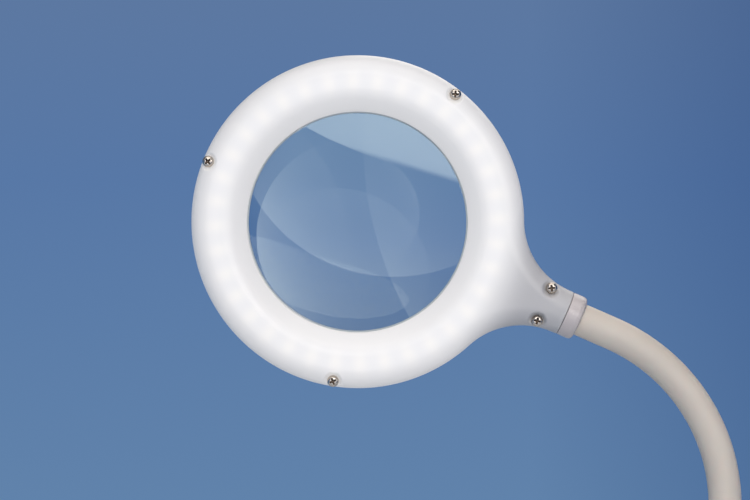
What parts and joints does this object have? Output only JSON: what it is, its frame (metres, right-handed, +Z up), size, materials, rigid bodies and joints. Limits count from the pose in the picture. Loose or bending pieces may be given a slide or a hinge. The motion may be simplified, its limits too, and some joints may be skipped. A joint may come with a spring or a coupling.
{
  "type": "magnifying lamp",
  "caption": "Round magnifying lens in a white ring of lights on a flexible neck, standing on a weighted round base with a push button.",
  "frame": {"origin": "centre of the base's underside", "axes": "+Z up, the light ring faces -Y, the neck rises on the +X side"},
  "size_m": [0.2767, 0.1567, 0.429],
  "materials": {
    "diffuser": "translucent white diffuser, satin",
    "shell_white": "white moulded ABS, satin",
    "collar_white": "white moulded, semi-gloss",
    "lens_glass": "clear polished",
    "gasket": "soft grey, matt",
    "board": "white solder mask",
    "led": "white package, pale window",
    "resistor": "black chip",
    "screw_steel": "nickel plated",
    "plated_steel": "zinc plated",
    "spring_steel": "drawn wire",
    "plate_steel": "dark painted steel",
    "weight_iron": "black painted casting",
    "pad_foam": "matt foam",
    "neck_sleeve": "smooth cream sleeve, satin",
    "switch_black": "matt",
    "button_white": "satin",
    "inlet_black": "matt",
    "wire": "insulated wire"
  },
  "bodies": {
    "base": {"neck_link_0": "neck_sleeve", "foot_collar": "collar_white", "foot_fitting": "plated_steel", "foot_washer": "plated_steel", "foot_nut": "plated_steel", "base_cover": "shell_white", "base_weight": "weight_iron", "base_plate": "plate_steel", "base_pad": "pad_foam", "base_screws": "screw_steel", "switch_body": "switch_black", "switch_spring": "spring_steel", "switch_screws": "screw_steel", "dc_inlet": "inlet_black", "dc_inlet_nut": "plated_steel", "base_leads": "wire"},
    "button": {"switch_button": "button_white"},
    "neck_1": {"neck_link_1": "neck_sleeve"},
    "neck_2": {"neck_link_2": "neck_sleeve"},
    "neck_3": {"neck_link_3": "neck_sleeve"},
    "neck_4": {"neck_link_4": "neck_sleeve"},
    "neck_5": {"neck_link_5": "neck_sleeve"},
    "neck_6": {"neck_link_6": "neck_sleeve"},
    "head": {"neck_link_7": "neck_sleeve", "front_shell": "diffuser", "rear_shell": "shell_white", "magnifier_lens": "lens_glass", "lens_gasket": "gasket", "led_board": "board", "leds": "led", "led_resistors": "resistor", "board_screws": "screw_steel", "rim_screws": "screw_steel", "neck_screws": "screw_steel", "neck_collar": "collar_white", "neck_fitting": "plated_steel", "head_leads": "wire"}
  },
  "joints": [
    {"name": "neck_bend_1", "type": "hinge", "parent": "base", "child": "neck_1", "pos_m": [0.042, 0, 0.066], "axis": [0, 1, 0], "range_deg": [-12, 24]},
    {"name": "neck_sway_2", "type": "hinge", "parent": "neck_1", "child": "neck_2", "pos_m": [0.042, 0, 0.106], "axis": [1, 0, 0], "range_deg": [-24, 24]},
    {"name": "neck_bend_3", "type": "hinge", "parent": "neck_2", "child": "neck_3", "pos_m": [0.042, 0, 0.146], "axis": [0, 1, 0], "range_deg": [-12, 24]},
    {"name": "neck_sway_4", "type": "hinge", "parent": "neck_3", "child": "neck_4", "pos_m": [0.042, 0, 0.186], "axis": [1, 0, 0], "range_deg": [-24, 24]},
    {"name": "neck_bend_5", "type": "hinge", "parent": "neck_4", "child": "neck_5", "pos_m": [0.042, 0, 0.226], "axis": [0, 1, 0], "range_deg": [-12, 24]},
    {"name": "neck_sway_6", "type": "hinge", "parent": "neck_5", "child": "neck_6", "pos_m": [0.02813, 0, 0.27254], "axis": [0.8368, 0, 0.5476], "range_deg": [-24, 24]},
    {"name": "neck_bend_7", "type": "hinge", "parent": "neck_6", "child": "head", "pos_m": [-0.00897, 0, 0.30389], "axis": [0, 1, 0], "range_deg": [-12, 24]},
    {"name": "button_press", "type": "slide", "parent": "base", "child": "button", "axis": [0, 0, -1], "range_m": [0, 0.002], "stiffness_N_per_m": 600, "springref_m": -0.001, "deforming": ["switch_spring"]}
  ]
}
